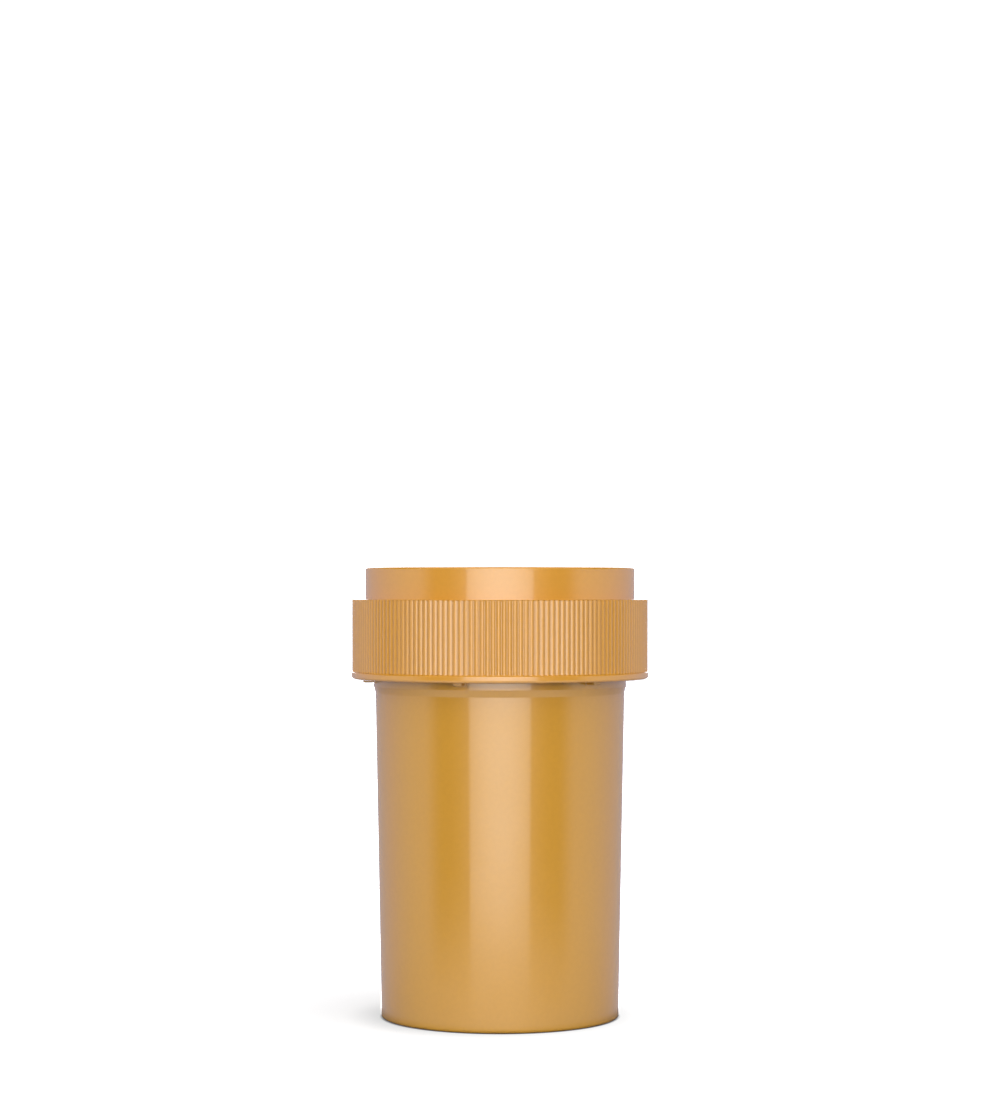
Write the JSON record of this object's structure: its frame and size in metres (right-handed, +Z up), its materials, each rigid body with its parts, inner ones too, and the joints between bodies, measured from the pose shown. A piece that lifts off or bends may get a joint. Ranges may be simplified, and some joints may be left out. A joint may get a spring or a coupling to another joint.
{
  "type": "prescription vial",
  "caption": "Opaque amber prescription vial with a ribbed, reversible child-resistant cap that pushes down, turns and lifts off.",
  "frame": {"origin": "middle of the surface that the vial stands on, on the vial's axis", "axes": "+Z up along the vial's axis; -Y is the side that the reference view faces"},
  "size_m": [0.05, 0.05, 0.075],
  "materials": {
    "vial_plastic": "moulded polypropylene, glossy, opaque yellowish amber",
    "cap_plastic": "moulded polypropylene, satin, opaque orange amber",
    "diaphragm_plastic": "milky natural low-density polyethylene",
    "liner_foam": "white closed-cell polyethylene foam"
  },
  "bodies": {
    "vial": {"vial": "vial_plastic"},
    "liner": {"seal_liner": "liner_foam"},
    "spring": {"spring_diaphragm": "diaphragm_plastic"},
    "cap": {"cap": "cap_plastic"}
  },
  "joints": [
    {"name": "cap_lift", "type": "slide", "parent": "vial", "child": "liner", "axis": [0, 0, 1], "range_m": [0, 0.025]},
    {"name": "cap_turn", "type": "hinge", "parent": "liner", "child": "spring", "pos_m": [0, 0, 0.0665], "axis": [0, 0, 1], "range_deg": [-28, 18]},
    {"name": "cap_push", "type": "slide", "parent": "spring", "child": "cap", "axis": [0, 0, 1], "range_m": [0, 0.001], "stiffness_N_per_m": 500, "springref_m": 0.0012, "deforming": ["spring_diaphragm"]}
  ]
}
